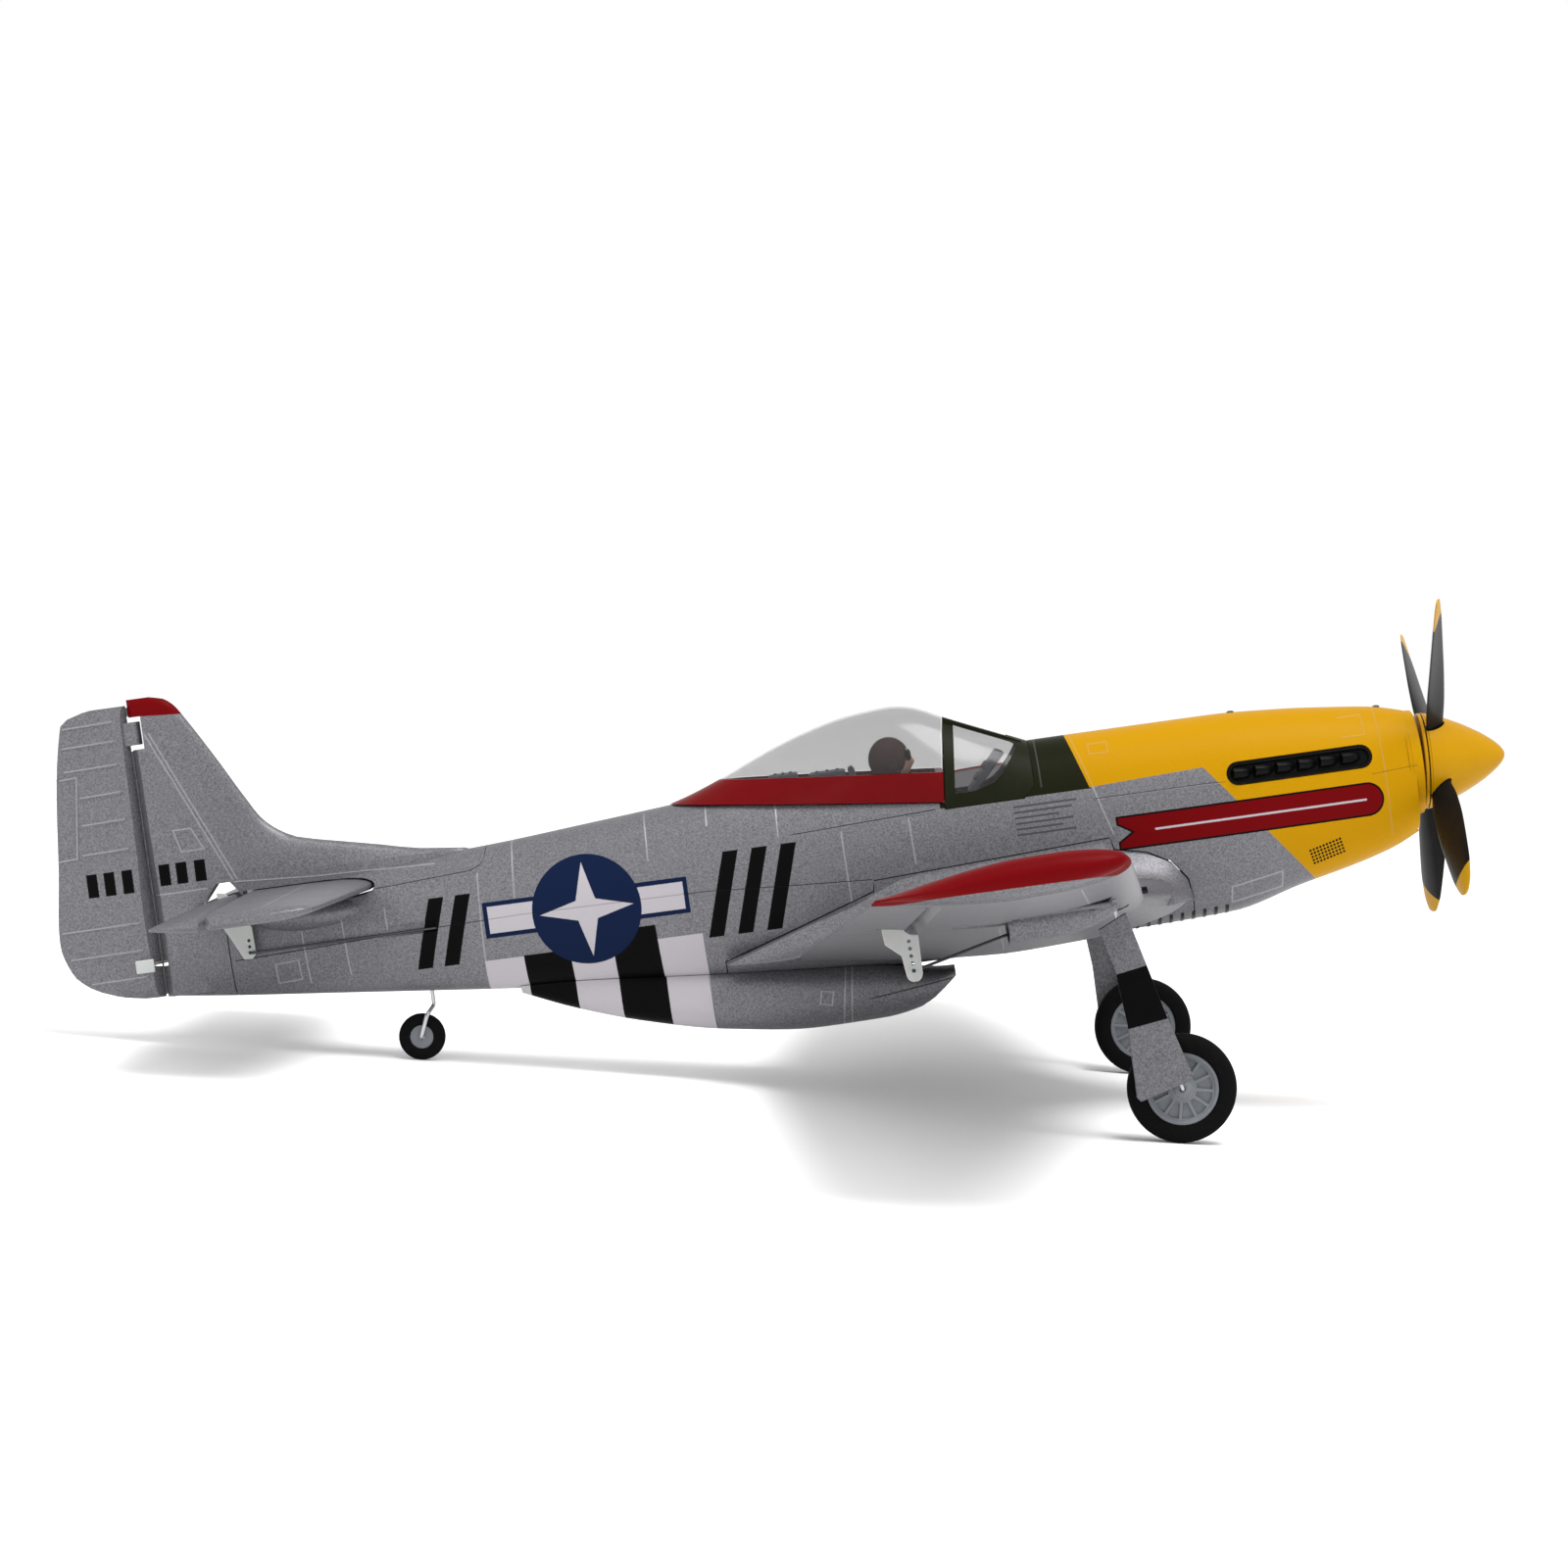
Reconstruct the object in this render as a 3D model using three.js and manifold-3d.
// A micro-size radio-control foam airplane: a low-wing warbird with a four-blade propeller, a lift-off
// canopy hatch, fixed wire landing gear, and four servos that work the ailerons, elevator and rudder.
//
// Millimetres. The airframe is drawn in its own body frame: +X to the nose along the fuselage line, +Y to
// port, +Z up, origin at the centre of the cowl's front face. One group then stands it on its three wheels.
import * as THREE from 'three';
import { mergeVertices } from 'three/addons/utils/BufferGeometryUtils.js';
import Module from 'manifold-3d';

const wasm = await Module();
wasm.setup();

// ---------------------------------------------------------------- driving dimensions
const GROUND_ANGLE = THREE.MathUtils.degToRad(11.3); // nose-up attitude on the ground
const COWL_CENTRE = { x: 183.8, z: 104.26 }; // cowl front face above the ground, X centres the whole box
const GAP = 0.3; // clearance between neighbouring pieces
const FOAM_WALL = 3;

// Hull stations: x, top, bottom, half width, height of the widest line.
const HULL = [
  [-2.6, 15.3, -20, 14.8, -1.5], [-10, 17.3, -23.5, 16, -4], [-22, 18.9, -27, 17.2, -6],
  [-38, 20.5, -30.6, 18.3, -7], [-58, 21.5, -35.6, 19.2, -8], [-100, 21.4, -37.2, 19.8, -9],
  [-135, 20.9, -38.3, 19.8, -9], [-165, 20, -38, 19.3, -8.5], [-195, 18.5, -36.8, 18.1, -8],
  [-217, 16.6, -35.2, 16.8, -8], [-240, 14.7, -32.9, 15.1, -8], [-268, 12.5, -29.9, 12.9, -8],
  [-291, 11.4, -27.4, 11, -8], [-320, 10.2, -24.2, 8.2, -7.5], [-347.5, 9.6, -21.2, 5.6, -6.5],
  [-365.8, 9.2, -18.9, 3.4, -5.5],
];
// Canopy stations: x, top, half width at the widest line of the hull below.
const CANOPY = [
  [-111, 21.6, 19.8], [-122, 26.4, 19.7], [-134, 31.4, 19.6], [-141, 34.7, 19.4], [-149, 36.3, 19.2],
  [-160, 35.4, 18.8], [-172, 32.9, 18.3], [-183, 29.3, 17.6], [-194, 24.9, 17.1], [-205, 20.2, 16.9],
  [-216.6, 16.7, 16.7],
];
const SILL = { front: [-135.1, 7.2], rear: [-216.8, 16.9] }; // hatch line along the fuselage side
const RAIL_TOP = { front: [-134.3, 16], rear: [-209, 23] };
const BOW_X = -134; // joint between windscreen and sliding hood
// Side outline of the wing saddle, the joint between fuselage and wing moulding.
const SADDLE = [
  [-204.8, -29.7], [-182, -22.2], [-160, -14.9], [-159.6, -11.8], [-91.6, -8.7], [-90.9, -12.2],
  [-82, -14.2], [-75, -18], [-71, -23.5], [-70, -29.7],
];

// Wing: straight panels outboard of a kinked root, measured at the plane of symmetry's side.
const SPAN = 493;
const WING = {
  rootY: 20, kinkY: 48, tipY: SPAN / 2, rootLead: -71.5, kinkLead: -85.8, tipLead: -99,
  rootTrail: -184, tipTrail: -158.5, rootZ: -27.2, tipZ: 1.2, thickness: 0.148, incidence: 0.035,
};
const AILERON = { inner: 132, outer: 232, chord: 0.755, hornY: 150 };
const SPAR = { fraction: 0.42, end: 128, radius: 1 };
const STAB = {
  z: 5.7, rootLead: -303, tipLead: -310.5, hinge: -340.6, trail: -355.5, tip: 87.5, half: 2.9,
  elevatorRoot: 8.5,
};
const FIN = { hinge: -367.9, notch: [-363.8, 53.5, 63], top: 68.2 };
const HINGE_GAP = 0.3; // half of the slit at a bevelled foam hinge
const HINGE_EDGE = 0.4; // half thickness left at the bevelled edge

const PROP = { radius: 57.5, rest: 37, down: 2.7, blades: 4, spinnerRadius: 13.9, spinnerTip: 25.2 };
// Height in the body frame of an axle whose wheel stands on the ground.
const axleHeight = (x, radius) =>
  (radius - COWL_CENTRE.z - x * Math.sin(GROUND_ANGLE)) / Math.cos(GROUND_ANGLE);
const WHEEL = { radius: 14.84, width: 7, x: -84.3, z: axleHeight(-84.3, 14.84), y: 78.5, bore: 0.85 };
const TAIL_WHEEL = { radius: 6.77, width: 3.6, x: -296, z: axleHeight(-296, 6.77), bore: 0.75 };
const GEAR_WIRE = 0.6;
const LINK_WIRE = 0.4;

// ---------------------------------------------------------------- materials
const paint = (color, roughness, metalness = 0, extra = {}) =>
  new THREE.MeshStandardMaterial({ color, roughness, metalness, ...extra });
const MATERIAL = {
  silverFoam: paint(0x8f9093, 0.55, 0.25),
  redFoam: paint(0xa30a10, 0.5),
  horn: paint(0xd9dcda, 0.4),
  clear: paint(0xdfe6ea, 0.08, 0, { transparent: true, opacity: 0.3 }),
  black: paint(0x16161a, 0.4),
  rubber: paint(0x1a1a1b, 0.8),
  greyPlastic: paint(0x8d9094, 0.45),
  steel: paint(0xb9bcc0, 0.3, 0.9),
  spinnerYellow: paint(0xd9a800, 0.35),
  board: paint(0x1f5a35, 0.6),
  battery: paint(0x2a4f9a, 0.5),
  ply: paint(0xc9a36b, 0.7),
  carbon: paint(0x222326, 0.45),
  servo: paint(0x27324a, 0.4),
  figure: paint(0x6b5a43, 0.7),
};

// ---------------------------------------------------------------- solids
// Makes a closed surface a solid, its shared corners merged and its faces turned to point out.
function solid(geometry) {
  const bare = new THREE.BufferGeometry();
  bare.setAttribute('position', geometry.getAttribute('position'));
  bare.setIndex(geometry.index);
  const merged = mergeVertices(bare, 1e-4);
  const triangles = [];
  for (let i = 0; i < merged.index.count; i += 3) {
    const [a, b, c] = [0, 1, 2].map((k) => merged.index.getX(i + k));
    if (a !== b && b !== c && a !== c) triangles.push(a, b, c);
  }
  if (signedVolume(merged.attributes.position, triangles) < 0) triangles.reverse();
  const mesh = new wasm.Mesh({
    numProp: 3,
    vertProperties: new Float32Array(merged.attributes.position.array),
    triVerts: new Uint32Array(triangles),
  });
  return new wasm.Manifold(mesh);
}

function signedVolume(position, triangles) {
  const [a, b, c] = [new THREE.Vector3(), new THREE.Vector3(), new THREE.Vector3()];
  let volume = 0;
  for (let i = 0; i < triangles.length; i += 3) {
    a.fromBufferAttribute(position, triangles[i]);
    b.fromBufferAttribute(position, triangles[i + 1]);
    c.fromBufferAttribute(position, triangles[i + 2]);
    volume += a.dot(b.cross(c));
  }
  return volume;
}

function geometryOf(body) {
  const mesh = body.getMesh();
  const geometry = new THREE.BufferGeometry();
  geometry.setAttribute('position', new THREE.BufferAttribute(mesh.vertProperties, 3));
  geometry.setIndex(new THREE.BufferAttribute(mesh.triVerts, 1));
  return geometry;
}

// The same solid moved, turned or mirrored by a matrix.
const moved = (body, matrix) => solid(geometryOf(body).applyMatrix4(matrix));

const at = (body, x, y, z) => moved(body, new THREE.Matrix4().makeTranslation(x, y, z));
const MIRROR = new THREE.Matrix4().makeScale(1, -1, 1);
const join = (first, ...rest) => rest.reduce((sum, body) => sum.add(body), first);
const cut = (first, ...rest) => rest.reduce((left, body) => left.subtract(body), first);

function box(x, y, z) {
  const geometry = new THREE.BoxGeometry(x[1] - x[0], y[1] - y[0], z[1] - z[0]);
  return solid(geometry.translate((x[0] + x[1]) / 2, (y[0] + y[1]) / 2, (z[0] + z[1]) / 2));
}

// A round bar or cone frustum between two points.
function bar(from, to, radius, sides = 8, endRadius = radius) {
  const start = new THREE.Vector3(...from);
  const along = new THREE.Vector3(...to).sub(start);
  const geometry = new THREE.CylinderGeometry(endRadius, radius, along.length(), sides);
  geometry.translate(0, along.length() / 2, 0);
  const upright = new THREE.Vector3(0, 1, 0);
  const turn = new THREE.Quaternion().setFromUnitVectors(upright, along.clone().normalize());
  return solid(geometry.applyQuaternion(turn).translate(...from));
}

const ball = (centre, radius, sides = 6, rings = 4) =>
  solid(new THREE.SphereGeometry(radius, sides, rings).translate(...centre));

// Bent wire: straight bars with a ball in each bend.
function wire(points, radius) {
  const bars = points.slice(1).map((point, i) => bar(points[i], point, radius, 6));
  const bends = points.slice(1, -1).map((point) => ball(point, radius * 1.08));
  return join(...bars, ...bends);
}

// A side outline in X and Z, given thickness in Y.
function sidePrism(outline, yMin, yMax) {
  const face = new THREE.Shape(outline.map(([x, z]) => new THREE.Vector2(x, z)));
  const geometry = new THREE.ExtrudeGeometry(face, { depth: yMax - yMin, bevelEnabled: false });
  return solid(geometry.rotateX(Math.PI / 2).translate(0, yMax, 0));
}

// A plan outline in X and Y, given thickness in Z.
function planPrism(outline, zMin, zMax) {
  const face = new THREE.Shape(outline.map(([x, y]) => new THREE.Vector2(x, y)));
  const geometry = new THREE.ExtrudeGeometry(face, { depth: zMax - zMin, bevelEnabled: false });
  return solid(geometry.translate(0, 0, zMin));
}

// Turned parts: profile points are [along the axis, radius].
function turnedX(profile, segments) {
  const points = profile.map(([x, radius]) => new THREE.Vector2(radius, x));
  return solid(new THREE.LatheGeometry(points, segments).rotateZ(-Math.PI / 2));
}

function turnedY(profile, segments) {
  const points = profile.map(([y, radius]) => new THREE.Vector2(radius, y));
  return solid(new THREE.LatheGeometry(points, segments));
}

// A closed solid through rings of points, each ring the same length, its ends fanned to their centres.
function loft(rings) {
  const count = rings[0].length;
  const last = (rings.length - 1) * count;
  const faces = [];
  for (let i = 0; i < count; i++) {
    const j = (i + 1) % count;
    for (let row = 0; row < last; row += count) {
      faces.push(row + i, row + j, row + j + count, row + i, row + j + count, row + i + count);
    }
    faces.push(rings.length * count, j, i, rings.length * count + 1, last + i, last + j);
  }
  const points = [...rings.flat(), centroid(rings[0]), centroid(rings.at(-1))];
  const geometry = new THREE.BufferGeometry();
  geometry.setAttribute('position', new THREE.Float32BufferAttribute(points.flat(), 3));
  return solid(geometry.setIndex(faces));
}

const centroid = (ring) => [0, 1, 2].map((axis) => ring.reduce((sum, p) => sum + p[axis], 0) / ring.length);

const mix = (a, b, t) => a + (b - a) * t;

// Linear value from a table of stations, found by its first column.
function station(table, x, column) {
  const next = table.findIndex((row) => row[0] <= x);
  if (next === -1) return table.at(-1)[column];
  if (next === 0) return table[0][column];
  const [before, after] = [table[next - 1], table[next]];
  return mix(before[column], after[column], (x - before[0]) / (after[0] - before[0]));
}

// ---------------------------------------------------------------- hull
const HULL_POINTS = 20;
const HULL_POWER = { top: 2.15, bottom: 2.3, canopy: 1.85 };

// One cross-section: superellipse quarters above and below the widest line.
function hullRing(x, top, bottom, half, middle, powerTop = HULL_POWER.top) {
  const ring = [];
  for (let i = 0; i < HULL_POINTS; i++) {
    const angle = (i / HULL_POINTS) * 2 * Math.PI;
    const [c, s] = [Math.cos(angle), Math.sin(angle)];
    const power = s > 0 ? powerTop : HULL_POWER.bottom;
    const reach = s > 0 ? top - middle : middle - bottom;
    const y = half * Math.sign(c) * Math.abs(c) ** (2 / power);
    ring.push([x, y, middle + reach * Math.sign(s) * Math.abs(s) ** (2 / power)]);
  }
  return ring;
}

// The hull between two stations, grown or shrunk all round by an inset.
function hull(from, to, inset = 0) {
  const inner = HULL.map((row) => row[0]).filter((x) => x < from - 1 && x > to + 1);
  const at = (x, column) => station(HULL, x, column);
  return loft([from, ...inner, to].map((x) =>
    hullRing(x, at(x, 1) - inset, at(x, 2) + inset, at(x, 3) - inset, at(x, 4))));
}

// The canopy bubble above the hull, with the hull's own lower half under it.
function bubble(inset = 0) {
  return loft(CANOPY.map(([x, top, half]) =>
    hullRing(x, top - inset, -12, half - inset, station(HULL, x, 4), HULL_POWER.canopy)));
}

const CAVITY = hull(-2.6, -334, FOAM_WALL);
const NOSE_BORE = 10.2;
const EQUIPMENT_BAY = join(CAVITY, bar([1, 0, 0], [-4, 0, 0], NOSE_BORE, 20));

// Everything above a straight line in side view, from x = rear to x = front.
function above(line, raise, front, rear) {
  const slope = (line.rear[1] - line.front[1]) / (line.rear[0] - line.front[0]);
  const at = (x) => line.front[1] + slope * (x - line.front[0]) + raise;
  return sidePrism([[front, at(front)], [front, 60], [rear, 60], [rear, at(rear)]], -30, 30);
}

const saddlePrism = (grow) => {
  const raised = SADDLE.map(([x, z], i) => [x + (i < 3 ? -grow : i > 4 ? grow : 0), z + grow]);
  return sidePrism([[-204.8 - grow, -60], ...raised, [-70 + grow, -60]], -30, 30);
};

const TAIL_JOINT = [
  [-347.4, -60], [-347.4, -3], [-346, 4.5], [-311.6, 5.8], [-306, 4.5], [-297.8, 4.8], [-274.5, 6.2],
  [-271.5, 7.5], [-269.3, 12.9], [-269.3, 90], [-420, 90], [-420, -60],
];

const CHIN = { top: -15.4, bottom: -19.2, half: 7.5 };
const EXHAUST_SLOT = { x: [-56, -14.6], z: [1.4, 7.6], depth: 1.6 };

function exhaustRecess(side, grow) {
  const { x, z, depth } = EXHAUST_SLOT;
  const radius = (z[1] - z[0]) / 2 + grow;
  const outline = [];
  for (let i = 0; i <= 4; i++) {
    const angle = -Math.PI / 2 + (i / 4) * Math.PI;
    outline.push([x[1] - radius + grow + radius * Math.cos(angle), 4.5 + radius * Math.sin(angle)]);
  }
  for (let i = 0; i <= 4; i++) {
    const angle = Math.PI / 2 + (i / 4) * Math.PI;
    outline.push([x[0] + radius - grow + radius * Math.cos(angle), 4.5 + radius * Math.sin(angle)]);
  }
  const slab = sidePrism(outline, side > 0 ? 0 : -30, side > 0 ? 30 : 0);
  return cut(slab, hull(-8, -70, depth + grow));
}

const LINK_SLOT = {
  elevator: { x: [-345, -252], y: [-11.4, -9.8], z: [-9.7, -6.5] },
  rudder: { x: [-345, -240], y: [9, 12], z: [-8.6, -6.4] },
};

function fuselage() {
  const cowlRing = bar([-0.1, 0, 0], [-4, 0, 0], 14.4, 24, 15.2);
  const chinInlet = box([-12, 1], [-CHIN.half, CHIN.half], [CHIN.bottom, CHIN.top]);
  const windscreenSeat = sidePrism(
    [[-138, 5.6], [-113.9, 5.6], [-110.6, 9.1], [-110.6, 60], [-138, 60]], -30, 30,
  );
  const joinerSweep = box([-349, -344.7], [-13, 13], [0.6, 6]);
  const body = cut(
    join(hull(-2.6, -347.1), cowlRing),
    EQUIPMENT_BAY, chinInlet, saddlePrism(GAP), sidePrism(TAIL_JOINT, -30, 30),
    above(SILL, 0, -134, -217.2), windscreenSeat, exhaustRecess(1, GAP), exhaustRecess(-1, GAP),
    stabilizerBlank(GAP), tailWheelSocket(GAP), joinerSweep,
  );
  const { elevator, rudder } = LINK_SLOT;
  const left = cut(body, box([-400, 10], [-40, 0.15], [-60, 60]), box(rudder.x, rudder.y, rudder.z));
  const right = cut(body, box([-400, 10], [-0.15, 40], [-60, 60]), box(elevator.x, elevator.y, elevator.z));
  return { left, right };
}

const tailWheelSocket = (grow) => bar([-291.3, 0, -40], [-291.3, 0, -17 + grow], GEAR_WIRE + grow, 12);

function radiatorScoop() {
  const stations = [
    [-140, -40.6, -43, 9.5], [-143.5, -40.4, -46.7, 10.6], [-148, -39.8, -49.9, 11.5],
    [-162, -36, -52.5, 13], [-180, -34, -52.8, 13.4], [-208, -31, -49.7, 11.8],
    [-232, -28, -44, 9.8], [-251, -26, -37.6, 7.7], [-265, -25, -31.6, 5.6],
  ];
  const ring = (row, inset) => {
    const [x, top, bottom, half] = row;
    const [middle, reach] = [(top + bottom) / 2, (top - bottom) / 2 - inset];
    return Array.from({ length: 14 }, (_, i) => {
      const angle = ((i + 0.5) / 14) * 2 * Math.PI;
      const [c, s] = [Math.cos(angle), Math.sin(angle)];
      const y = (half - inset) * Math.sign(c) * Math.abs(c) ** 0.75;
      return [x, y, middle + reach * Math.sign(s) * Math.abs(s) ** 0.75];
    });
  };
  const duct = [[-139, -41.7, -50.5, 9.2], [-160, -41.5, -50.8, 10.6], [-184, -42, -50.4, 10]];
  const shell = cut(loft(stations.map((row) => ring(row, 0))), hull(-130, -275, -GAP));
  return cut(shell, loft(duct.map((row) => ring(row, 0))), wingUnderside());
}

// The wing's own underside, grown by the gap, so the scoop sits under it.
const wingUnderside = () => loft([0, 20].map((y) => wingRing(y, GAP)).concat([wingRing(30, GAP)]));

// ---------------------------------------------------------------- wing
// Half thickness over chord, and where the chord is divided, for one smooth low-drag section.
const SECTION = [
  [0, 0], [0.012, 0.135], [0.05, 0.27], [0.14, 0.41], [0.28, 0.49], [0.44, 0.5], [0.6, 0.42], [0.755, 0.28],
  [0.9, 0.12], [1, 0.03],
];

function wingLine(y) {
  const lead = y < WING.kinkY
    ? mix(WING.rootLead, WING.kinkLead, Math.max(0, (y - WING.rootY) / (WING.kinkY - WING.rootY)))
    : mix(WING.kinkLead, WING.tipLead, (y - WING.kinkY) / (WING.tipY - WING.kinkY));
  const out = Math.max(0, (y - WING.rootY) / (WING.tipY - WING.rootY));
  return { lead, trail: mix(WING.rootTrail, WING.tipTrail, out), z: mix(WING.rootZ, WING.tipZ, out) };
}

const sectionHalf = (fraction) => {
  const next = Math.max(1, SECTION.findIndex((row) => row[0] >= fraction));
  const [before, after] = [SECTION[next - 1], SECTION[next]];
  return mix(before[1], after[1], (fraction - before[0]) / (after[0] - before[0]));
};

// A point on the wing: chord fraction, and side +1 upper, -1 lower, 0 the middle.
function wingPoint(y, fraction, side = 0, grow = 0) {
  const { lead, trail, z } = wingLine(y);
  const chord = lead - trail;
  const middle = z - chord * fraction * WING.incidence;
  const half = sectionHalf(fraction) * WING.thickness * chord + grow;
  return [lead - chord * fraction, y, middle + side * half];
}

function wingRing(y, grow = 0, shrink = 1) {
  const upper = SECTION.map(([f]) => wingPoint(y, f, shrink, grow)).reverse();
  const lower = SECTION.slice(1).map(([f]) => wingPoint(y, f, -shrink, grow));
  return [...upper, ...lower];
}

// The rounded end of the panel: rings draw in towards the middle of the chord.
function tipRing(y, keep) {
  const centre = wingPoint(WING.tipY, 0.45);
  return wingRing(WING.tipY, 0).map(([x, , z]) =>
    [mix(centre[0], x, keep ** 0.4), y, mix(centre[2], z, keep)]);
}

function wingBlank() {
  const end = WING.tipY - 6;
  return loft([
    wingRing(0.15), wingRing(WING.rootY), wingRing(WING.kinkY), wingRing(end), tipRing(end + 3, 0.86),
    tipRing(end + 5.2, 0.58), tipRing(WING.tipY, 0.12),
  ]);
}

// Concave fillet from the saddle line on the fuselage side down to the wing's upper surface.
function rootFillet() {
  const front = -70;
  const rear = -204.8;
  const saddleTop = (x) => {
    const line = [
      [-204.8, -29.9], ...SADDLE.slice(1, 3), [-158, -12.2], [-92.5, -9.4], ...SADDLE.slice(5, 9), [-70, -30],
    ];
    const next = Math.max(1, line.findIndex((row) => row[0] >= x));
    const [before, after] = [line[next - 1], line[next]];
    return mix(before[1], after[1], (x - before[0]) / (after[0] - before[0]));
  };
  const ring = (y, keep) => {
    const points = [];
    const steps = 9;
    for (let i = 0; i <= steps; i++) {
      const fraction = (1 - Math.cos((i / steps) * Math.PI)) / 2;
      const wing = wingPoint(y, Math.min(fraction, 0.999), 0.6);
      const x = mix(wing[0], mix(front, rear, fraction), keep);
      points.push([x, y, mix(wing[2], saddleTop(mix(front, rear, fraction)), keep)]);
    }
    const floor = points.slice(1, -1).reverse().map(([x, , z]) => [x, y, Math.min(z - 0.4, -29)]);
    return [...points, ...floor];
  };
  return loft([
    ring(14, 1), ring(19.4, 0.97), ring(21, 0.72), ring(23.5, 0.42), ring(27, 0.18), ring(32, 0),
  ]);
}

const hingePoint = (y) => wingPoint(y, AILERON.chord);

// Frame on the aileron hinge at the horn: X forward, Y out along the hinge, Z up.
function hingeFrame() {
  const origin = new THREE.Vector3(...hingePoint(AILERON.hornY));
  const along = new THREE.Vector3(...hingePoint(AILERON.outer)).sub(origin).normalize();
  const forward = new THREE.Vector3().crossVectors(along, new THREE.Vector3(0, 0, 1)).normalize();
  const up = new THREE.Vector3().crossVectors(forward, along);
  return new THREE.Matrix4().makeBasis(forward, along, up).setPosition(origin);
}
const HINGE_FRAME = hingeFrame();
const onHinge = (body) => moved(body, HINGE_FRAME);

const bevelDepth = (half) => 0.6 * half;

function aileronRing(y, grow) {
  const [hx, , hz] = hingePoint(y);
  const { lead, trail } = wingLine(y);
  const chord = lead - trail;
  const half = sectionHalf(AILERON.chord) * WING.thickness * chord + grow;
  const back = hx - HINGE_GAP + (grow ? 30 : 0);
  const rearHalf = sectionHalf(0.9) * WING.thickness * chord + grow;
  const [rx, , rz] = wingPoint(y, 0.9);
  const [tx, , tz] = wingPoint(y, 1);
  return [
    [back, y, hz + HINGE_EDGE], [hx - HINGE_GAP - bevelDepth(half), y, hz + half], [rx, y, rz + rearHalf],
    [tx, y, tz + 0.35], [tx, y, tz - 0.35], [rx, y, rz - rearHalf],
    [hx - HINGE_GAP - bevelDepth(half), y, hz - half], [back, y, hz - HINGE_EDGE],
  ];
}

// The bay the aileron moves in, with the panel's own bevel towards the hinge.
function aileronBay(y) {
  const [hx, , hz] = hingePoint(y);
  const { lead, trail } = wingLine(y);
  const half = sectionHalf(AILERON.chord) * WING.thickness * (lead - trail) + 1;
  return [
    [hx + HINGE_GAP, y, hz + HINGE_EDGE], [hx + HINGE_GAP + bevelDepth(half), y, hz + half],
    [trail - 5, y, hz + 12], [trail - 5, y, hz - 12],
    [hx + HINGE_GAP + bevelDepth(half), y, hz - half], [hx + HINGE_GAP, y, hz - HINGE_EDGE],
  ];
}

function aileron() {
  const blank = loft([aileronRing(AILERON.inner + 0.5, 0), aileronRing(AILERON.outer - 0.5, 0)]);
  return cut(blank, onHinge(box([-9.2, 0.6], [-0.8, 0.8], [-8, 8])));
}

// Horn: a plate square to the hinge, its nub above the surface and its arm with holes below.
const HORN_HOLE = [-1.3, -13.5];
function aileronHorn() {
  const outline = [
    [-7.6, 4.6], [-4.4, 3.9], [-3.2, 2.6], [-2.2, -3.4], [-0.9, -4.4], [1.1, -4.7], [0.9, -14.4],
    [-0.2, -16.2], [-1.9, -16.2], [-3.2, -14.6], [-3.8, -9.4], [-7.6, -6], [-7.9, -3],
  ];
  const plate = sidePrism(outline, -0.5, 0.5);
  const [x, z] = HORN_HOLE;
  return cut(plate, bar([x, -2, z], [x, 2, z], LINK_WIRE + 0.25, 10));
}

const AILERON_ARM = { pivot: [34.8, 0.8], tip: [34.2, -5.2] };
function aileronPushrod() {
  const [x, z] = HORN_HOLE;
  const [tx, tz] = AILERON_ARM.tip;
  return wire([[x, 1, z], [x, -1.3, z], [tx, -1.3, tz]], LINK_WIRE);
}

// Servo arm: a tapered finger with a round hub and a hole near its tip.
function servoArm(pivot, tip, hubRadius = 2.2, half = 0.5) {
  const [px, pz] = pivot;
  const [dx, dz] = [tip[0] - px, tip[1] - pz];
  const length = Math.hypot(dx, dz);
  const at = (along, across) =>
    [px + (dx * along - dz * across) / length, pz + (dz * along + dx * across) / length];
  const outline = [
    at(0, -1.6), at(length + 0.6, -0.9), at(length + 1.3, 0), at(length + 0.6, 0.9), at(0, 1.6),
  ];
  const hub = bar([px, -half, pz], [px, half, pz], hubRadius, 12);
  const hole = bar([tip[0], -3, tip[1]], [tip[0], 3, tip[1]], 0.5, 8);
  return cut(join(sidePrism(outline, -half, half), hub), hole);
}

const SERVO_BODY = { long: 14, thick: 7.6, deep: 11 };
// Servo case with its output boss on the -Y face at the pivot.
function servoCase(pivot, face, lugsAt = 3) {
  const [px, pz] = pivot;
  const { long, thick, deep } = SERVO_BODY;
  const body = box([px - 4, px - 4 + long], [face, face + deep], [pz - thick / 2, pz + thick / 2]);
  const lugs = box([px - 6.4, px - 1.6 + long], [face + lugsAt, face + lugsAt + 1], [pz - 3.2, pz + 3.2]);
  return join(body, lugs, bar([px, face + 0.5, pz], [px, face - 0.5, pz], 1.6, 10));
}

// Pod under the wing: a trough over the pushrod, open at the rear, beside a flat cover over the servo.
const POD = { radius: 5.1, wall: 0.8, x: [23.7, 52], cover: [-4.6, -3.7] };
function podLoft(inset) {
  const rows = [
    [POD.x[0] - inset * 2, 5.1, -5.4], [34, 5.1, -5.2], [42, 4.6, -4.9], [48, 3.4, -4.4],
    [POD.x[1], 1.5, -3.9],
  ];
  const kept = inset ? rows.slice(0, 4) : rows;
  return loft(kept.map(([x, radius, z]) => Array.from({ length: 16 }, (_, i) => {
    const angle = (i / 16) * 2 * Math.PI;
    return [x, (radius - inset) * Math.cos(angle), z + (radius - inset) * Math.sin(angle)];
  })));
}

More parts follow.
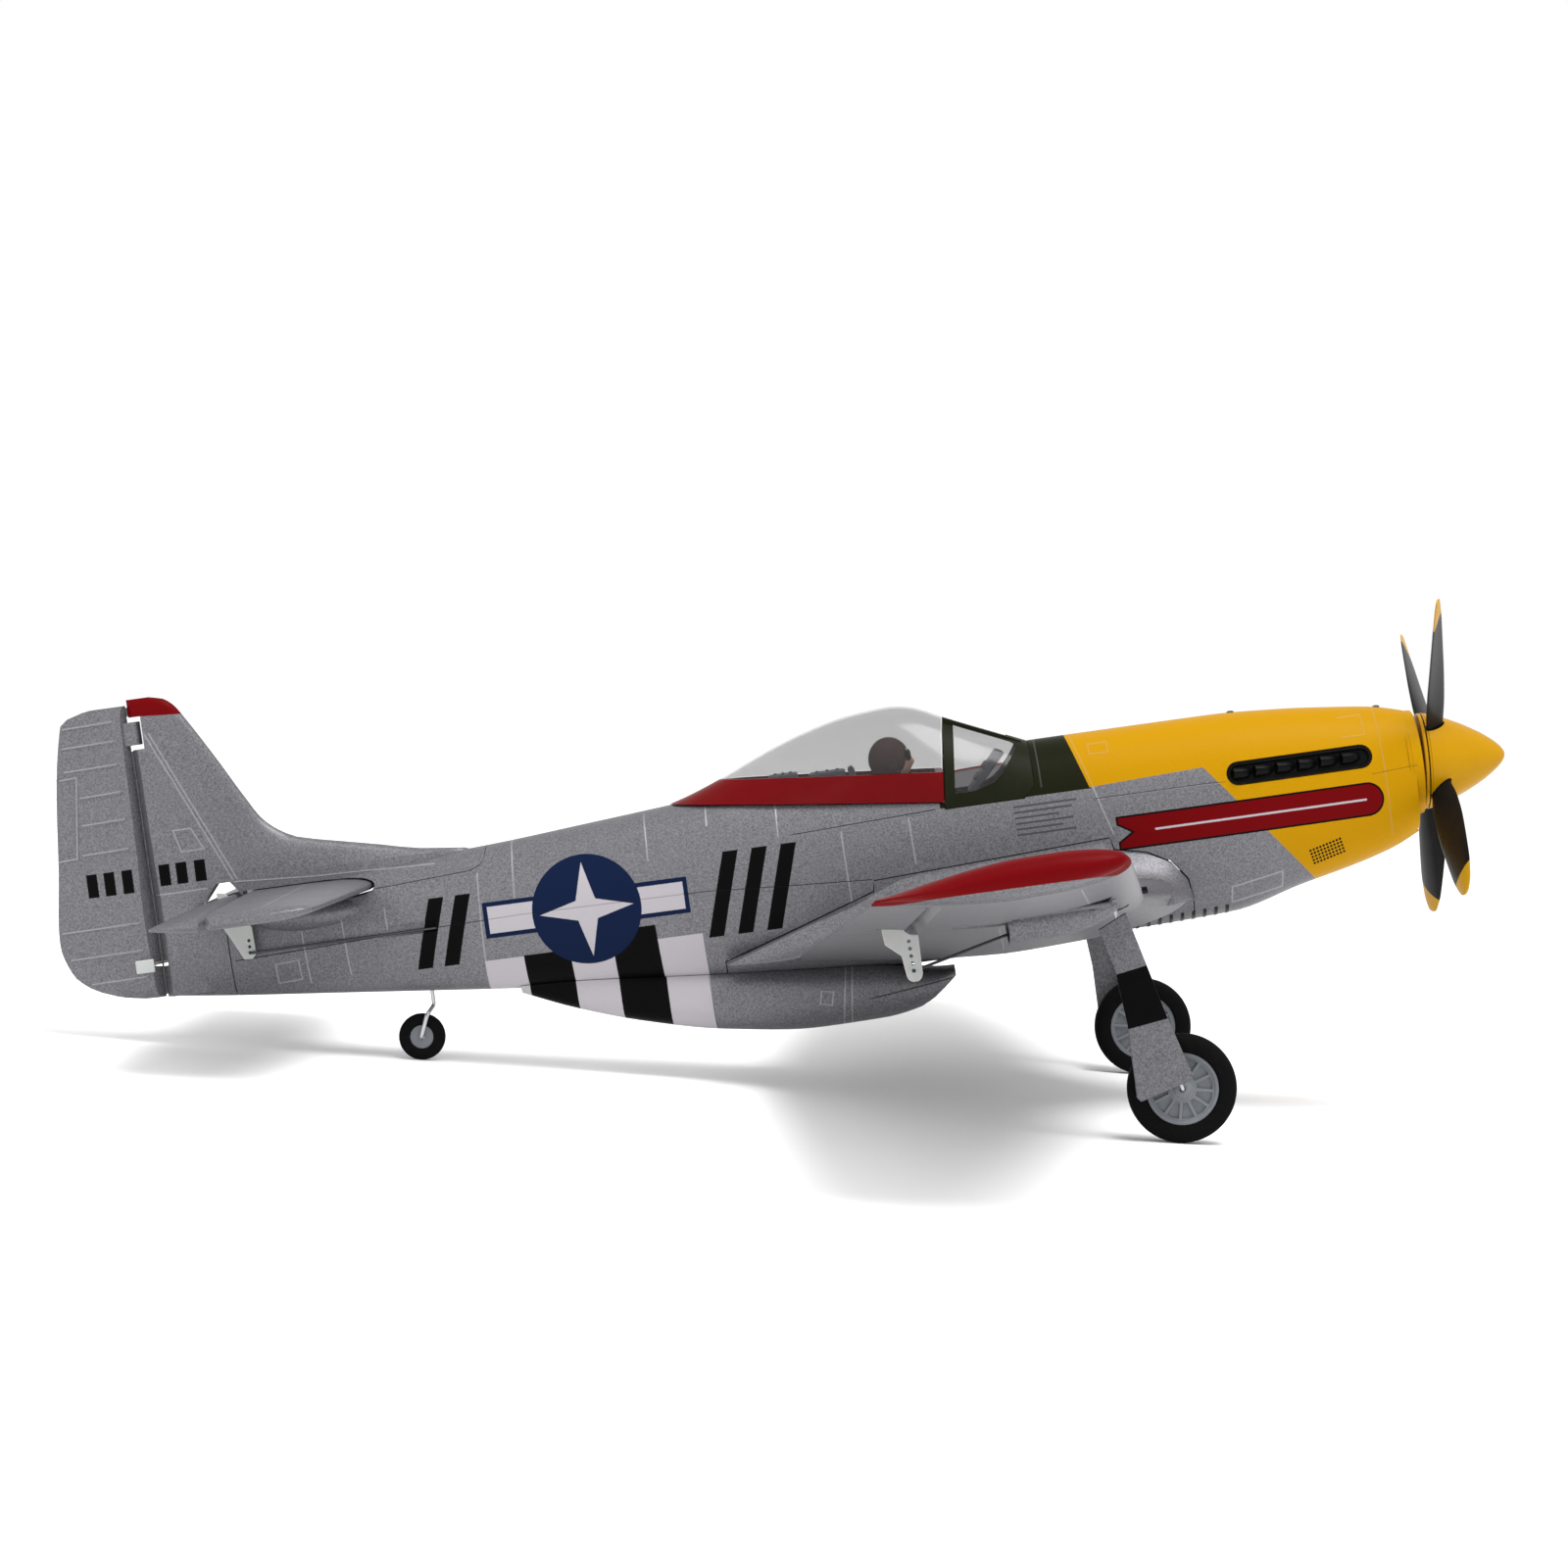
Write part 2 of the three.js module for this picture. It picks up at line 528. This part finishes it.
function servoPod() {
  const cover = box([24.6, 49.5], [-5.2, 13.8], POD.cover);
  const shell = join(cut(podLoft(0), box([0, 60], [-10, 20], [POD.cover[1], 20])), cover);
  return cut(shell, podLoft(POD.wall), box([20, 46], [-4.2, 4.2], [POD.cover[0] - 0.2, 5]));
}

const servoPocket = () => join(
  box([24.3, 49.8], [-5.5, 14.1], [-16, -0.6]),
  box([27.2, 49.6], [-2.4, 13.4], [-1, 5.2]),
  bar([10, 0, -5.4], [25, 0, -5.4], POD.radius, 16),
  podLoft(-GAP),
);

const GEAR = { top: [-97, -20], socket: { x: [-102, -92.5], y: [79, 88], z: [-22.5, -17.2] } };
const gearSocketBox = (grow) => {
  const { x, y, z } = GEAR.socket;
  return box([x[0] - grow, x[1] + grow], [y[0] - grow, y[1] + grow], [z[0] - (grow ? 12 : 0), z[1] + grow]);
};
const GEAR_LINE_Y = 83.4;
function gearSocket() {
  const alongLeg = (t) => [mix(GEAR.top[0], WHEEL.x, t), GEAR_LINE_Y, mix(GEAR.top[1], WHEEL.z, t)];
  return cut(gearSocketBox(0), bar(alongLeg(0.2), alongLeg(-0.01), GEAR_WIRE + 0.3, 10));
}

function sparRun(radius) {
  const side = [SPAR.end, WING.rootY].map((y) => wingPoint(y, SPAR.fraction));
  const middle = [side[1][0], 0, side[1][2]];
  const left = [side[0], side[1], middle];
  const right = [side[1], side[0]].map(([x, y, z]) => [x, -y, z]);
  return { left, all: [...left.slice(0, 2), ...right] };
}

function wingPanel() {
  const shell = cut(join(hull(-60, -215), rootFillet()), CAVITY, box([-230, -50], [-40, 0.15], [-60, 60]));
  const centre = shell.intersect(saddlePrism(0));
  const [end, root, middle] = sparRun().left;
  const tunnel = wire([[end[0], end[1] + 0.4, end[2]], root, [middle[0], -1, middle[2]]], SPAR.radius + GAP);
  const bay = loft([aileronBay(AILERON.inner), aileronBay(AILERON.outer)]);
  return cut(join(wingBlank(), centre), bay, tunnel, onHinge(servoPocket()), gearSocketBox(GAP));
}

// ---------------------------------------------------------------- tail
function stabilizerLead(y) {
  const out = Math.abs(y) / STAB.tip;
  return mix(STAB.rootLead, STAB.tipLead, out);
}

function stabRing(y, grow, keep = 1) {
  const lead = stabilizerLead(y) + grow;
  const half = (STAB.half - 0.7 * (Math.abs(y) / STAB.tip)) * keep + grow;
  const edge = STAB.hinge + HINGE_GAP;
  const shift = (x) => mix(-335, x, 0.35 + 0.65 * keep);
  const z = STAB.z;
  const front = [[lead, 0.12], [lead - 2, 0.55], [lead - 8, 0.9], [lead - 18, 1]];
  const bevel = edge + (grow ? -40 : bevelDepth(half));
  return [
    ...front.map(([x, k]) => [shift(x), y, z + half * k]), [bevel, y, z + half],
    [grow ? bevel : edge, y, z + (grow ? half : HINGE_EDGE * keep)],
    [grow ? bevel : edge, y, z - (grow ? half : HINGE_EDGE * keep)], [bevel, y, z - half],
    ...front.reverse().map(([x, k]) => [shift(x), y, z - half * k]),
  ];
}

// With no gap this is the stabilizer itself; with one, the slot that it fills in the fuselage and fin.
function stabilizerBlank(grow) {
  if (grow) {
    const rear = STAB.hinge - 0.6;
    const half = STAB.half + grow;
    return box([rear, STAB.rootLead + grow], [-40, 40], [STAB.z - half, STAB.z + half]);
  }
  const ys = [STAB.tip, STAB.tip - 1.5, STAB.tip - 6, 0];
  const keeps = [0.25, 0.7, 1, 1];
  const port = ys.map((y, i) => stabRing(y, 0, keeps[i]));
  const starboard = ys.slice(0, 3).map((y, i) => stabRing(-y, 0, keeps[i])).reverse();
  return loft([...port, ...starboard]);
}

function elevatorRing(y, keep = 1) {
  const half = (STAB.half - 0.7 * (Math.abs(y) / STAB.tip)) * keep;
  const front = STAB.hinge - HINGE_GAP;
  const rear = mix(STAB.hinge, STAB.trail, 0.35 + 0.65 * keep);
  const z = STAB.z;
  return [
    [front, y, z + HINGE_EDGE * keep], [front - bevelDepth(half), y, z + half],
    [mix(front, rear, 0.5), y, z + half * 0.8], [rear, y, z + 0.35], [rear, y, z - 0.35],
    [mix(front, rear, 0.5), y, z - half * 0.8], [front - bevelDepth(half), y, z - half],
    [front, y, z - HINGE_EDGE * keep],
  ];
}

const JOINER = { x: -347.2, radius: 1.1 };
const ELEVATOR_HORN = { y: -9.5, hole: [STAB.hinge, -8.8] };
function elevator() {
  const half = loft([
    elevatorRing(STAB.elevatorRoot), elevatorRing(STAB.tip - 6), elevatorRing(STAB.tip - 1.5, 0.7),
    elevatorRing(STAB.tip, 0.25),
  ]);
  const reach = STAB.elevatorRoot + 4;
  const joiner = bar([JOINER.x, -reach, STAB.z], [JOINER.x, reach, STAB.z], JOINER.radius, 10);
  const slot = box([-348.4, STAB.hinge + 1], [ELEVATOR_HORN.y - 0.8, ELEVATOR_HORN.y + 0.8], [0, 12]);
  return cut(join(half, moved(half, MIRROR), joiner), slot);
}

function elevatorHorn() {
  const outline = [
    [-347.9, 9.6], [-345.6, 9.2], [-342.4, 5.2], [-341.6, 1.6], [-339.2, -1.4], [-339, -9.2],
    [-340.2, -10.6], [-342.6, -10.4], [-345.8, -3.8], [-347.6, -0.4],
  ];
  const plate = sidePrism(outline, ELEVATOR_HORN.y - 0.5, ELEVATOR_HORN.y + 0.5);
  const [x, z] = ELEVATOR_HORN.hole;
  return cut(plate, bar([x, -12, z], [x, -7, z], LINK_WIRE + 0.25, 10));
}

// Fin and rudder half thickness by height.
const FIN_HALF = [[68.2, 0.9], [66.4, 2], [61, 2.7], [48, 3], [23, 3.5], [8, 4.2], [-20, 3.4]];
const finHalf = (z) => station(FIN_HALF, z, 1);

function finRing(z, lead) {
  const half = finHalf(z);
  const edge = FIN.hinge + HINGE_GAP;
  const bevel = edge + bevelDepth(half);
  const chord = lead - bevel;
  const shape = [[0.06, 0.5], [0.18, 0.78], [0.4, 1]];
  const side = shape.map(([f, k]) => [lead - chord * f, half * k, z]);
  const port = [...side, [bevel, half, z], [edge, HINGE_EDGE, z]];
  return [[lead, 0, z], ...port, ...port.map(([x, y]) => [x, -y, z]).reverse()];
}

function finBlade() {
  const edge = [
    [7, -266], [12.6, -276], [14.2, -289], [17.2, -302], [19.4, -312], [22.7, -325], [28.6, -333],
    [35.1, -337], [48, -344], [61, -351.5], [64.8, -354], [67.2, -357], [FIN.top, -361],
  ];
  return loft(edge.map(([z, lead]) => finRing(z, lead)));
}

function fin() {
  const tailBody = hull(-262, -365.7).intersect(sidePrism(TAIL_JOINT, -30, 30));
  const lowerBevel = sidePrism([[-366, -30], [-366, 12], [-380, 12], [-380, -30]], -10, 10);
  const notch = sidePrism(
    [[-355, 4.4], [-348.6, 12], [-344.6, 12], [-339.8, 5.6], [-344.6, -1.4], [-348.6, -1.4]], -20, 20,
  );
  const [front, low, high] = FIN.notch;
  const rudderNotch = box([-380, front], [-20, 20], [low, high]);
  const hornWell = box([-349.4, -338], [-11.2, -7.6], [-30, 20]);
  return cut(
    join(tailBody, finBlade(), cut(finFoot(), lowerBevel)),
    stabilizerBlank(GAP), notch, rudderNotch, hornWell, box([-356, -341.2], [4.6, 20], [1, 10.4]),
    box([-356, -341.2], [-20, -4.6], [1, 10.4]),
  );
}

// Solid foam behind the fuselage joint, down to the tail's lower edge, tapering to the rudder hinge.
const finFoot = () => loft([-18.8, 8].map((z) => finRing(z, -349)));

function rudderRing(z, trail, keep = 1) {
  const half = finHalf(z) * keep;
  const front = FIN.hinge - HINGE_GAP;
  const mid = mix(front, trail, 0.45);
  const edge = Math.min(HINGE_EDGE, half);
  const port = [
    [front, edge, z], [front - bevelDepth(half), half, z], [mid, half * 0.72, z], [trail, 0.35 * keep, z],
  ];
  return [...port, ...port.map(([x, y]) => [x, -y, z]).reverse()];
}

const RUDDER_HORN = { z: -9, hole: [FIN.hinge, 11] };
function rudder() {
  const edge = [
    [-18.6, -374, 0.5], [-17.6, -379.7, 0.8], [-15.6, -385.7, 1], [-13.3, -390, 1], [-8.9, -394.3, 1],
    [0, -396.8, 1], [18.5, -394.6, 1], [63, -387.7, 1], [65.6, -384, 0.9], [66.6, -378.4, 0.6],
  ];
  const blade = loft(edge.map(([z, trail, keep]) => rudderRing(z, trail, keep)));
  const balance = join(
    bar([-366.6, 0, 54.9], [-366.6, 0, 61.6], 2, 12), box([-371, -366.6], [-1.9, 1.9], [54.9, 61.6]),
  );
  const slot = box([-374.6, -367], [-9, 9], [RUDDER_HORN.z - 0.8, RUDDER_HORN.z + 0.8]);
  return cut(join(blade, balance), slot);
}

function rudderHorn() {
  const z = RUDDER_HORN.z;
  const outline = [
    [-374.2, -4.4], [-374.2, 4.6], [-371.4, 12], [-368.6, 12.7], [-366.6, 12.4], [-366.4, 9.4],
    [-370.2, 4.6], [-370.2, -4.4],
  ];
  const plate = planPrism(outline, z - 0.5, z + 0.5);
  const back = box([-375, -369.7], [-4.9, -3.9], [z - 1.9, z + 1.9]);
  const [x, y] = RUDDER_HORN.hole;
  return cut(join(plate, back), bar([x, y, z - 2], [x, y, z + 2], LINK_WIRE + 0.25, 10));
}

// ---------------------------------------------------------------- equipment
const TRAY = { x: [-212, -62], z: [-17.4, -16.2] };
const SHELF_PAD = { x: [-185, -172], y: [4, 13], top: -15.2 };
const ELEVATOR_LINK = 175;
const ELEVATOR_SERVO = {
  pivot: [STAB.hinge + ELEVATOR_LINK, STAB.z],
  reach: STAB.z - ELEVATOR_HORN.hole[1],
  face: ELEVATOR_HORN.y + 1.5,
};
const RUDDER_LINK = 170;
const RUDDER_SERVO = { pivot: [FIN.hinge + RUDDER_LINK, 0], z: RUDDER_HORN.z, lugs: 4.6 };

function equipmentTray() {
  const plate = hull(-50, -230, FOAM_WALL + GAP).intersect(box(TRAY.x, [-30, 30], TRAY.z));
  const [px] = RUDDER_SERVO.pivot;
  const window = box([px - 4.6, px + 10.6], [-4.2, 4.2], [-20, -10]);
  const [ex, ez] = ELEVATOR_SERVO.pivot;
  const stand = box([ex - 8, ex + 13.6], [-3.4, -2.2], [TRAY.z[0], 8.6]);
  const opening = box([ex - 4.4, ex + 10.4], [-6, 0], [ez - 4.2, ez + 4.2]);
  const pad = box(SHELF_PAD.x, SHELF_PAD.y, [TRAY.z[0] + 0.2, SHELF_PAD.top]);
  return cut(join(plate, stand, pad), window, opening, wingTopBlank());
}

// The wing's upper surface grown by the gap, across the fuselage.
const wingTopBlank = () =>
  loft([-20, 20].map((y) => wingRing(Math.abs(y), GAP).map(([x, , z]) => [x, y, z])));

function elevatorServo() {
  return servoCase(ELEVATOR_SERVO.pivot, ELEVATOR_SERVO.face);
}

function elevatorServoArm() {
  const [px, pz] = ELEVATOR_SERVO.pivot;
  const arm = servoArm([px, pz], [px, pz - ELEVATOR_SERVO.reach]);
  return at(arm, 0, ELEVATOR_HORN.y + 0.3, 0);
}

function elevatorPushrod() {
  const [x, z] = ELEVATOR_HORN.hole;
  const y = ELEVATOR_HORN.y;
  return wire([[x, y + 0.9, z], [x, y - 1.1, z], [x + ELEVATOR_LINK, y - 1.1, z]], LINK_WIRE);
}

// Turns a piece drawn in X and Z about Y into one drawn in X and Y about Z.
const LAY_FLAT = new THREE.Matrix4().makeRotationX(-Math.PI / 2);

function rudderServo() {
  const flat = moved(servoCase([RUDDER_SERVO.pivot[0], 0], 0.9, RUDDER_SERVO.lugs), LAY_FLAT);
  return at(flat, 0, 0, RUDDER_SERVO.z - 0.4);
}

function rudderServoArm() {
  const [px] = RUDDER_SERVO.pivot;
  const arm = moved(servoArm([px, 0], [px, RUDDER_HORN.hole[1]]), LAY_FLAT);
  return at(arm, 0, 0, RUDDER_SERVO.z + 0.3);
}

function rudderPushrod() {
  const [x, y] = RUDDER_HORN.hole;
  const z = RUDDER_HORN.z + 1.5;
  return wire([[x, y, RUDDER_HORN.z - 0.9], [x, y, z], [x + RUDDER_LINK, y, z]], LINK_WIRE);
}

// ---------------------------------------------------------------- cockpit
function hatchRail() {
  const line = { front: SILL.front, rear: SILL.rear };
  const sides = bubble().intersect(above(line, GAP, BOW_X - GAP, -217));
  const outer = sides.subtract(above(RAIL_TOP, 0, -100, -240));
  const inside = bubble(2).intersect(above(line, GAP + 1.4, BOW_X - 2.5, -214));
  return cut(outer, inside);
}

function canopyGlass() {
  const outer = bubble().intersect(above(RAIL_TOP, GAP, BOW_X - GAP, -217));
  return cut(outer, bubble(0.8).intersect(above(RAIL_TOP, -5, -120, -230)));
}

function windscreen() {
  const seat = sidePrism([[BOW_X, 5.9], [-114.1, 5.9], [-111, 9.2], [-111, 60], [BOW_X, 60]], -30, 30);
  const outer = bubble().intersect(seat);
  return cut(outer, cut(bubble(0.9), box([-130, -100], [-30, 30], [-60, 5.4])));
}

function cockpitInterior() {
  const slope = (SILL.rear[1] - SILL.front[1]) / (SILL.rear[0] - SILL.front[0]);
  const floor = (x) => SILL.front[1] + slope * (x - SILL.front[0]) + GAP * 2 + 1.4;
  const deck = [[-139, floor(-139)], [-139, floor(-139) + 1], [-190, floor(-190) + 1], [-190, floor(-190)]];
  const radio = [
    [-186, 10], [-186, 21.4], [-177.5, 21], [-177.5, 20.4], [-174.5, 20.4], [-164.5, 19.4], [-164.5, 10],
  ];
  const seat = [[-161.5, 9], [-163.5, 26], [-161.7, 26.4], [-158.6, 10]];
  const coaming = [[-139.6, 8], [-139.6, 17.6], [-142.4, 18.6], [-143.6, 8]];
  const below = above(SILL, GAP * 2 + 1.4, -120, -230);
  return join(
    sidePrism(deck, -8.5, 8.5), sidePrism(radio, -5.6, 5.6).intersect(below),
    sidePrism(seat, -4.6, 4.6).intersect(below), sidePrism(coaming, -8.5, 8.5).intersect(below),
  );
}

function pilotBust() {
  const base = 13;
  const round = new THREE.SphereGeometry(1, 10, 6).scale(4.2, 6.8, 5.4);
  const chest = solid(round.translate(-151.4, 0, base + 2.6));
  const torso = cut(chest, box([-170, -130], [-20, 20], [-20, base]));
  return join(torso, bar([-151, 0, base + 4], [-150.6, 0, 23], 2), ball([-150.2, 0, 24.8], 4.3, 10, 7));
}

// ---------------------------------------------------------------- power
// Frame of the thrust line: the cowl centre, tipped a little nose-down.
const THRUST = new THREE.Matrix4().makeRotationY(THREE.MathUtils.degToRad(PROP.down));
const onThrust = (body) => moved(body, THRUST);

const BLADE_PLANE = 4.9;
function bladeRing(radius, chord, pitch, thickness, grow) {
  const half = { chord: chord / 2 + grow, thick: thickness / 2 + grow };
  const shape = [
    [1, 0], [0.6, 0.8], [0, 1], [-0.6, 0.8], [-1, 0], [-0.6, -0.8], [0, -1], [0.6, -0.8],
  ];
  const turn = THREE.MathUtils.degToRad(pitch);
  return shape.map(([c, t]) => {
    const [along, across] = [c * half.chord, t * half.thick];
    const x = along * Math.cos(turn) - across * Math.sin(turn);
    return [BLADE_PLANE + x, along * Math.sin(turn) + across * Math.cos(turn), radius];
  });
}

// Blade stations: radius, chord, pitch measured from the shaft line, thickness.
const BLADE = [
  [2, 6.4, 38, 3], [12, 7, 42, 2.4], [21, 10.4, 53, 1.9], [33, 12.4, 62, 1.4], [47, 11.2, 68, 1.1],
  [54.5, 7.8, 71, 0.9], [PROP.radius, 2.4, 72, 0.6],
];

function blades(rows, grow = 0) {
  const one = loft(rows.map((row) => bladeRing(...row, grow)));
  return Array.from({ length: PROP.blades }, (_, i) => {
    const angle = THREE.MathUtils.degToRad(PROP.rest + i * (360 / PROP.blades));
    return moved(one, new THREE.Matrix4().makeRotationX(angle));
  });
}

function propeller() {
  const hub = turnedX([[1.9, 0], [1.9, 4.6], [9.4, 4.6], [9.4, 0]], 12);
  return cut(join(hub, ...blades(BLADE)), bar([-3, 0, 0], [12, 0, 0], 1 + 0.25, 12));
}

function spinner() {
  const { spinnerRadius: base, spinnerTip: tip } = PROP;
  const outer = [[tip, 0], [24.2, 2.2], [21, 5.1], [16, 8.3], [10, 11.3], [5, 13.2], [2, base]];
  const inner = [[2, base - 1.2], [9, 10.4], [18, 5.4], [20, 0]];
  return cut(turnedX([...outer, ...inner], 20), ...blades([BLADE[0], BLADE[2]], 0.45));
}

const spinnerBackplate = () => turnedX([[0.6, 1.3], [0.6, 13.6], [1.6, 13.6], [1.6, 1.3], [0.6, 1.3]], 20);
const motorShaft = () => bar([-21, 0, 0], [13, 0, 0], 1, 12);
const motorBell = () => turnedX([
  [-3.5, 1.3], [-3.5, 8.6], [-15, 8.6], [-15, 7.7], [-4.7, 7.7], [-4.7, 1.3], [-3.5, 1.3],
], 16);
const motorStator = () => turnedX([
  [-5.4, 1.3], [-5.4, 7], [-14, 7], [-14, 3.6], [-17, 3.6], [-17, 7.4], [-18.2, 7.4], [-18.2, 1.3],
  [-5.4, 1.3],
], 12);

function firewall() {
  const plate = hull(-10, -40, FOAM_WALL + GAP).intersect(box([-20.6, -19.1], [-30, 30], [-12, 12]));
  return cut(plate, bar([-30, 0, 0], [-10, 0, 0], 3, 12));
}

function exhaust(side) {
  const { x, z, depth } = EXHAUST_SLOT;
  const count = 6;
  const pitch = (x[1] - x[0] - 4) / count;
  const base = exhaustRecess(side, 0).intersect(hull(-8, -70, depth - 0.9));
  const stacks = Array.from({ length: count }, (_, i) => {
    const front = x[1] - 3 - i * pitch;
    const skin = station([[-14, 16.1], [-58, 18.6]], front, 1);
    const ends = [(skin - 1.6) * side, (skin + 0.9) * side].sort((a, b) => a - b);
    return box([front - pitch * 0.62, front], ends, [z[0] + 0.9, z[1] - 0.9]);
  });
  return cut(join(base, ...stacks), hull(-8, -70, depth));
}

// ---------------------------------------------------------------- landing gear
function gearLeg() {
  const [x, z] = GEAR.top;
  const y = GEAR_LINE_Y;
  return wire([[x, y, z], [WHEEL.x, y, WHEEL.z], [WHEEL.x, 73.6, WHEEL.z]], GEAR_WIRE);
}

function gearDoor() {
  const outline = [
    [-101.2, -28.2], [-93.4, -24.6], [-92.2, -29.2], [-89.6, -39.6], [-86.4, -52.8], [-81.2, -70.6],
    [-82.4, -72], [-96, -75.8], [-97, -74.6], [-96.9, -54.6], [-98.2, -40],
  ];
  return sidePrism(outline, 84.5, 85.6);
}

const level = (body) => moved(body, new THREE.Matrix4().makeRotationY(GROUND_ANGLE));

function tire(radius, inner, width, segments) {
  const half = width / 2;
  return level(turnedY([
    [-half * 0.8, inner], [-half, mix(inner, radius, 0.4)], [-half * 0.72, radius * 0.955], [0, radius],
    [half * 0.72, radius * 0.955], [half, mix(inner, radius, 0.4)], [half * 0.8, inner],
    [-half * 0.8, inner],
  ], segments));
}

function mainHub() {
  const outer = 9.9;
  const disc = turnedY([
    [-2.6, WHEEL.bore], [-2.6, outer], [2.9, outer], [2.2, outer - 1.6], [2.2, 3], [3.3, WHEEL.bore],
    [-2.6, WHEEL.bore],
  ], 24);
  return level(disc);
}

function tailHub() {
  const { bore } = TAIL_WHEEL;
  const profile = [[-1.2, bore], [-1.2, 3.4], [1.2, 3.4], [1.7, bore + 0.9], [1.7, bore], [-1.2, bore]];
  return level(turnedY(profile, 14));
}

function tailWheelWire() {
  const { x, z } = TAIL_WHEEL;
  return wire([[-291.3, 0, -18], [-291.3, 0, -31.6], [-293.4, -3, -34], [x, -3, z], [x, 2.4, z]], GEAR_WIRE);
}

// ---------------------------------------------------------------- assembly
const airframe = new THREE.Group();
airframe.name = 'airframe';
airframe.rotation.y = -GROUND_ANGLE;
airframe.position.set(COWL_CENTRE.x, 0, COWL_CENTRE.z);

function add(name, body, material) {
  const mesh = new THREE.Mesh(geometryOf(body), material.clone());
  mesh.name = name;
  airframe.add(mesh);
}

// A piece drawn on the port side, and its mirror image on the starboard side.
function addPair(name, body, material) {
  add(`${name}_left`, body, material);
  add(`${name}_right`, moved(body, MIRROR), material);
}

const halves = fuselage();
add('fuselage_left', halves.left, MATERIAL.silverFoam);
add('fuselage_right', halves.right, MATERIAL.silverFoam);
add('fin', fin(), MATERIAL.silverFoam);
add('rudder', rudder(), MATERIAL.silverFoam);
add('stabilizer', stabilizerBlank(0), MATERIAL.silverFoam);
add('elevator', elevator(), MATERIAL.silverFoam);
add('radiator_scoop', radiatorScoop(), MATERIAL.silverFoam);
addPair('wing', wingPanel(), MATERIAL.silverFoam);
addPair('aileron', aileron(), MATERIAL.silverFoam);
add('wing_spar', wire(sparRun().all, SPAR.radius), MATERIAL.carbon);

addPair('servo_pod', onHinge(servoPod()), MATERIAL.silverFoam);
addPair('aileron_servo', onHinge(servoCase(AILERON_ARM.pivot, 1.4)), MATERIAL.servo);
const aileronArm = servoArm(AILERON_ARM.pivot, AILERON_ARM.tip, 1.9);
addPair('aileron_servo_arm', onHinge(aileronArm), MATERIAL.horn);
addPair('aileron_horn', onHinge(aileronHorn()), MATERIAL.horn);
addPair('aileron_pushrod', onHinge(aileronPushrod()), MATERIAL.steel);

add('equipment_tray', equipmentTray(), MATERIAL.ply);
add('battery_pack', box([-112, -66], [-11, 11], [-15.6, -2.6]), MATERIAL.battery);
add('receiver_board', box([-146, -118], [-10, 10], [-15.6, -12]), MATERIAL.board);
add('elevator_servo', elevatorServo(), MATERIAL.servo);
add('elevator_servo_arm', elevatorServoArm(), MATERIAL.horn);
add('elevator_pushrod', elevatorPushrod(), MATERIAL.steel);
add('elevator_horn', elevatorHorn(), MATERIAL.horn);
add('rudder_servo', rudderServo(), MATERIAL.servo);
add('rudder_servo_arm', rudderServoArm(), MATERIAL.horn);
add('rudder_pushrod', rudderPushrod(), MATERIAL.steel);
add('rudder_horn', rudderHorn(), MATERIAL.horn);

add('windscreen', windscreen(), MATERIAL.clear);
add('canopy_glass', canopyGlass(), MATERIAL.clear);
add('hatch_rail', hatchRail(), MATERIAL.redFoam);
add('cockpit_interior', cockpitInterior(), MATERIAL.black);
add('pilot_bust', pilotBust(), MATERIAL.figure);

add('spinner', onThrust(spinner()), MATERIAL.spinnerYellow);
add('spinner_backplate', onThrust(spinnerBackplate()), MATERIAL.black);
add('propeller', onThrust(propeller()), MATERIAL.black);
add('motor_shaft', onThrust(motorShaft()), MATERIAL.steel);
add('motor_bell', onThrust(motorBell()), MATERIAL.black);
add('motor_stator', onThrust(motorStator()), MATERIAL.steel);
add('firewall', firewall(), MATERIAL.ply);
add('exhaust_left', exhaust(1), MATERIAL.black);
add('exhaust_right', exhaust(-1), MATERIAL.black);

addPair('gear_socket', gearSocket(), MATERIAL.black);
addPair('gear_leg', gearLeg(), MATERIAL.steel);
addPair('gear_door', gearDoor(), MATERIAL.silverFoam);
const mainTire = tire(WHEEL.radius, 10.2, WHEEL.width, 24);
addPair('main_tire', at(mainTire, WHEEL.x, WHEEL.y, WHEEL.z), MATERIAL.rubber);
addPair('main_hub', at(mainHub(), WHEEL.x, WHEEL.y, WHEEL.z), MATERIAL.greyPlastic);
add('tail_wheel_wire', tailWheelWire(), MATERIAL.steel);
const tailTire = tire(TAIL_WHEEL.radius, 3.7, TAIL_WHEEL.width, 20);
add('tail_tire', at(tailTire, TAIL_WHEEL.x, 0, TAIL_WHEEL.z), MATERIAL.rubber);
add('tail_hub', at(tailHub(), TAIL_WHEEL.x, 0, TAIL_WHEEL.z), MATERIAL.greyPlastic);

const model = new THREE.Group();
model.add(airframe);
model.updateMatrixWorld(true);
export default model;
